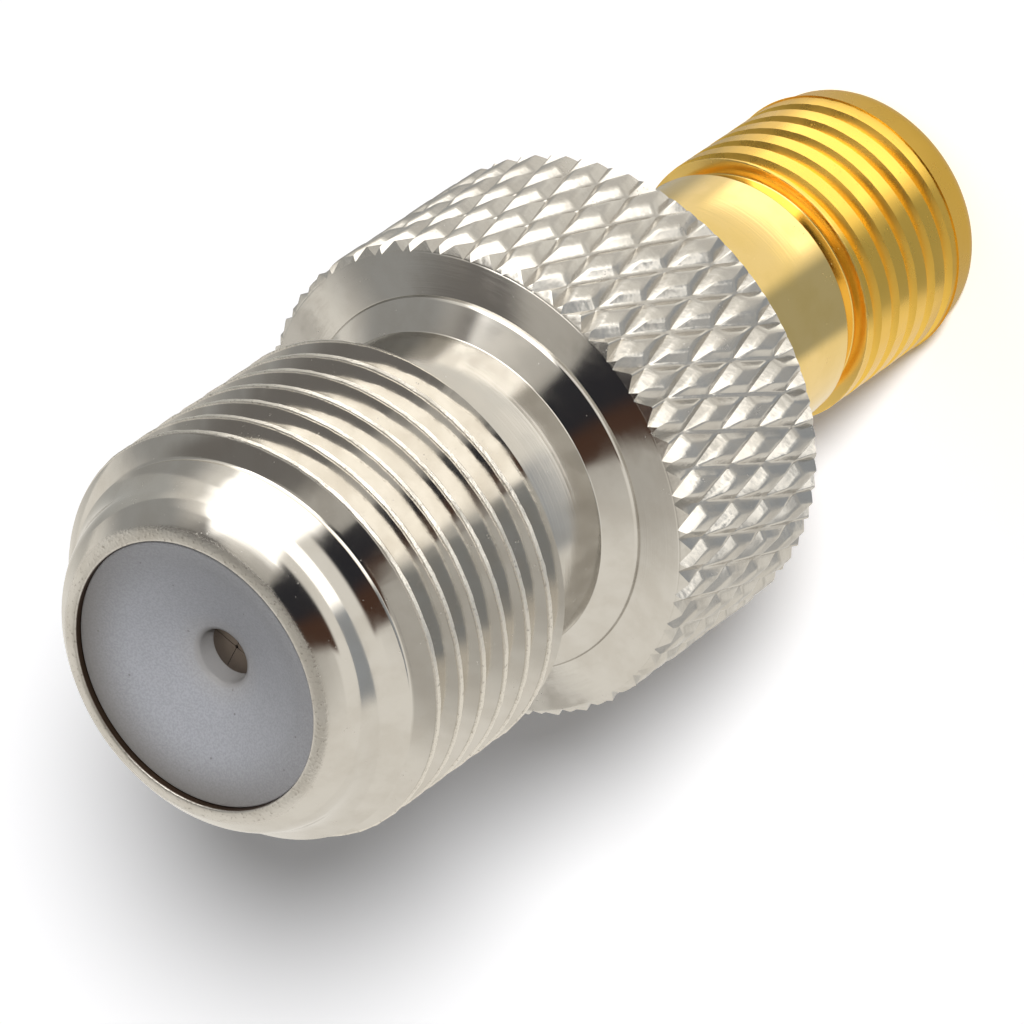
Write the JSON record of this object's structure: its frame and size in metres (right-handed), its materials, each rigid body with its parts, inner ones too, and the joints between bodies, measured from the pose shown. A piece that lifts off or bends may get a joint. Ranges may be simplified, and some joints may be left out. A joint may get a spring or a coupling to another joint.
{
  "type": "coaxial adapter",
  "caption": "Straight coaxial adapter: nickel-plated F jack with a diamond-knurled collar, and a smaller gold-plated SMA jack on the same axis.",
  "frame": {"origin": "centre of the SMA jack's end face, which the adapter stands on", "axes": "+Z along the common axis, from the SMA jack to the mouth of the F jack"},
  "size_m": [0.011, 0.011, 0.025],
  "materials": {
    "nickel_plate": "bright nickel plating over turned brass",
    "gold_plate": "bright gold plating over turned brass",
    "white_insulator": "moulded, matte",
    "fluoropolymer": "turned, waxy",
    "tin_plated_bronze": "dull tin plating",
    "gold_contact": "gold plating over spring bronze"
  },
  "bodies": {
    "root": {"f_body": "nickel_plate", "f_front_insulator": "white_insulator", "f_contact": "tin_plated_bronze", "support_bead": "white_insulator", "sma_body": "gold_plate", "sma_insulator": "fluoropolymer", "sma_contact": "gold_contact"}
  },
  "joints": []
}
